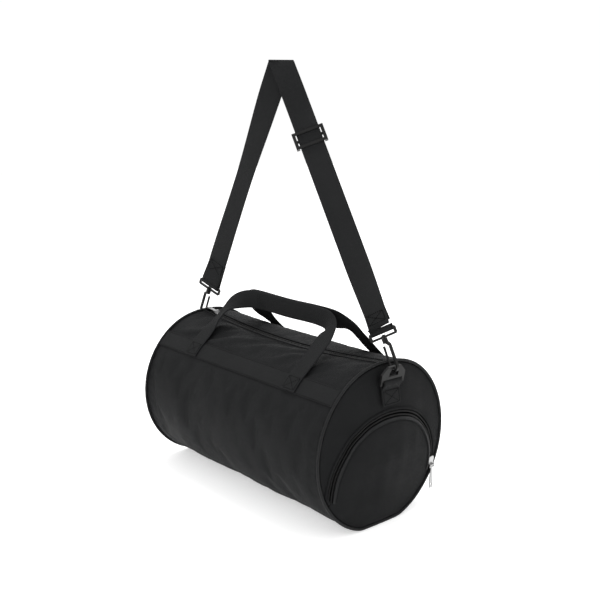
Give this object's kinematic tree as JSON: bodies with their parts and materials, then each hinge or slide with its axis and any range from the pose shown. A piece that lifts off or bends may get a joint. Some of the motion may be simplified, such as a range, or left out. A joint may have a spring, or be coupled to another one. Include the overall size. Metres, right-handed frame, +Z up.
{
  "type": "barrel duffel bag",
  "caption": "Soft cylindrical holdall with a zipped top, an arched zip pocket in one end, two webbing carry handles and a hooked-on shoulder strap with an adjuster.",
  "frame": {"origin": "under the middle of the barrel, on the flattened underside it rests on", "axes": "+X along the barrel to the end with the zip pocket, +Z up, -Y to the side whose handle and webbing band are called front"},
  "size_m": [0.4834, 0.2686, 0.6856],
  "materials": {
    "fabric": "coated polyester weave, soft sheen",
    "webbing": "woven webbing, matt",
    "piping": "satin",
    "zip_tape": "woven, matt",
    "zip_coil": "nylon",
    "lining": "coated",
    "board": "matt",
    "plastic": "semi-gloss moulded",
    "puller": "satin nickel"
  },
  "bodies": {
    "bag": {"body_shell": "fabric", "band_front": "webbing", "band_back": "webbing", "zip_tape_front": "zip_tape", "zip_tape_back": "zip_tape", "zip_coil_front": "zip_coil", "zip_coil_back": "zip_coil", "seam_binding_front": "lining", "seam_binding_rear": "lining", "piping_front": "piping", "piping_rear": "piping", "base_board": "board", "end_panel_rear": "fabric", "end_panel_front": "fabric", "pocket_base": "fabric", "pocket_tape_outer": "zip_tape", "pocket_coil_outer": "zip_coil", "pocket_divider": "lining", "handle_foot_front_left": "webbing", "handle_foot_front_right": "webbing", "handle_foot_back_left": "webbing", "handle_foot_back_right": "webbing", "ring_tab_front": "webbing", "ring_tab_rear": "webbing"},
    "main_slider": {"main_slider": "puller"},
    "main_puller": {"main_puller": "puller"},
    "pocket_flap": {"pocket_front": "fabric", "pocket_tape_inner": "zip_tape", "pocket_coil_inner": "zip_coil"},
    "pocket_slider": {"pocket_slider": "puller"},
    "pocket_puller": {"pocket_puller": "puller"},
    "handle_front": {"handle_front": "webbing"},
    "handle_back": {"handle_back": "webbing"},
    "d_ring_front": {"d_ring_front": "plastic"},
    "d_ring_rear": {"d_ring_rear": "plastic"},
    "strap": {"strap_webbing": "webbing", "strap_return": "webbing", "hook_loop_front": "plastic", "hook_loop_rear": "plastic"},
    "hook_front": {"hook_front": "plastic"},
    "hook_rear": {"hook_rear": "plastic"},
    "gate_front": {"gate_front": "plastic"},
    "gate_rear": {"gate_rear": "plastic"},
    "strap_adjuster": {"strap_adjuster": "plastic"}
  },
  "joints": [
    {"name": "main_zip_run", "type": "hinge", "parent": "bag", "child": "main_slider", "pos_m": [0, 0, 1.912], "axis": [0, -1, 0], "range_deg": [0, 12.8]},
    {"name": "main_pull_swing", "type": "hinge", "parent": "main_slider", "child": "main_puller", "pos_m": [-0.19248, 0, 0.2554], "axis": [0, 1, 0], "range_deg": [0, 160]},
    {"name": "pocket_fold", "type": "hinge", "parent": "bag", "child": "pocket_flap", "pos_m": [0.23229, 0, 0.0623], "axis": [0, 1, 0], "range_deg": [0, 100]},
    {"name": "pocket_zip_run", "type": "hinge", "parent": "pocket_flap", "child": "pocket_slider", "pos_m": [0.22068, 0, 0.07], "axis": [0.9935, 0, -0.1137], "range_deg": [0, 174]},
    {"name": "pocket_pull_swing", "type": "hinge", "parent": "pocket_slider", "child": "pocket_puller", "pos_m": [0.22561, 0.10817, 0.06909], "axis": [0, -1, 0], "range_deg": [0, 100]},
    {"name": "handle_front_fall", "type": "hinge", "parent": "bag", "child": "handle_front", "pos_m": [0, -0.08644, 0.2309], "axis": [1, 0, 0], "range_deg": [0, 165]},
    {"name": "handle_back_fall", "type": "hinge", "parent": "bag", "child": "handle_back", "pos_m": [0, 0.08644, 0.2309], "axis": [-1, 0, 0], "range_deg": [0, 165]},
    {"name": "ring_front_tilt", "type": "hinge", "parent": "bag", "child": "d_ring_front", "pos_m": [0.23124, 0, 0.227], "axis": [0, 1, 0], "range_deg": [-2, 2]},
    {"name": "ring_rear_tilt", "type": "hinge", "parent": "bag", "child": "d_ring_rear", "pos_m": [-0.22838, 0, 0.227], "axis": [0, -1, 0], "range_deg": [-2, 2]},
    {"name": "strap_swing", "type": "hinge", "parent": "bag", "child": "strap", "pos_m": [0, 0, 0.248], "axis": [1, 0, 0], "range_deg": [-28, 28]},
    {"name": "hook_front_swivel", "type": "hinge", "parent": "strap", "child": "hook_front", "pos_m": [0.23541, 0, 0.25064], "axis": [-0.493, 0, 0.87], "range_deg": [-6, 6]},
    {"name": "gate_front_open", "type": "hinge", "parent": "hook_front", "child": "gate_front", "pos_m": [0.21424, 0, 0.27542], "axis": [0, -1, 0], "range_deg": [0, 20], "stiffness_Nm_per_rad": 0.02, "springref_deg": -5.73},
    {"name": "hook_rear_swivel", "type": "hinge", "parent": "strap", "child": "hook_rear", "pos_m": [-0.23255, 0, 0.25064], "axis": [0.4033, 0, 0.9151], "range_deg": [-6, 6]},
    {"name": "gate_rear_open", "type": "hinge", "parent": "hook_rear", "child": "gate_rear", "pos_m": [-0.21397, 0, 0.27742], "axis": [0, 1, 0], "range_deg": [0, 20], "stiffness_Nm_per_rad": 0.02, "springref_deg": -5.73},
    {"name": "strap_adjust", "type": "slide", "parent": "strap", "child": "strap_adjuster", "axis": [0.5167, 0, -0.8561], "range_m": [-0.035, 0.15], "deforming": ["strap_return"]}
  ],
  "couplings": [
    {"joint": "pocket_zip_run", "follows": "pocket_fold", "ratio": 1.74}
  ]
}
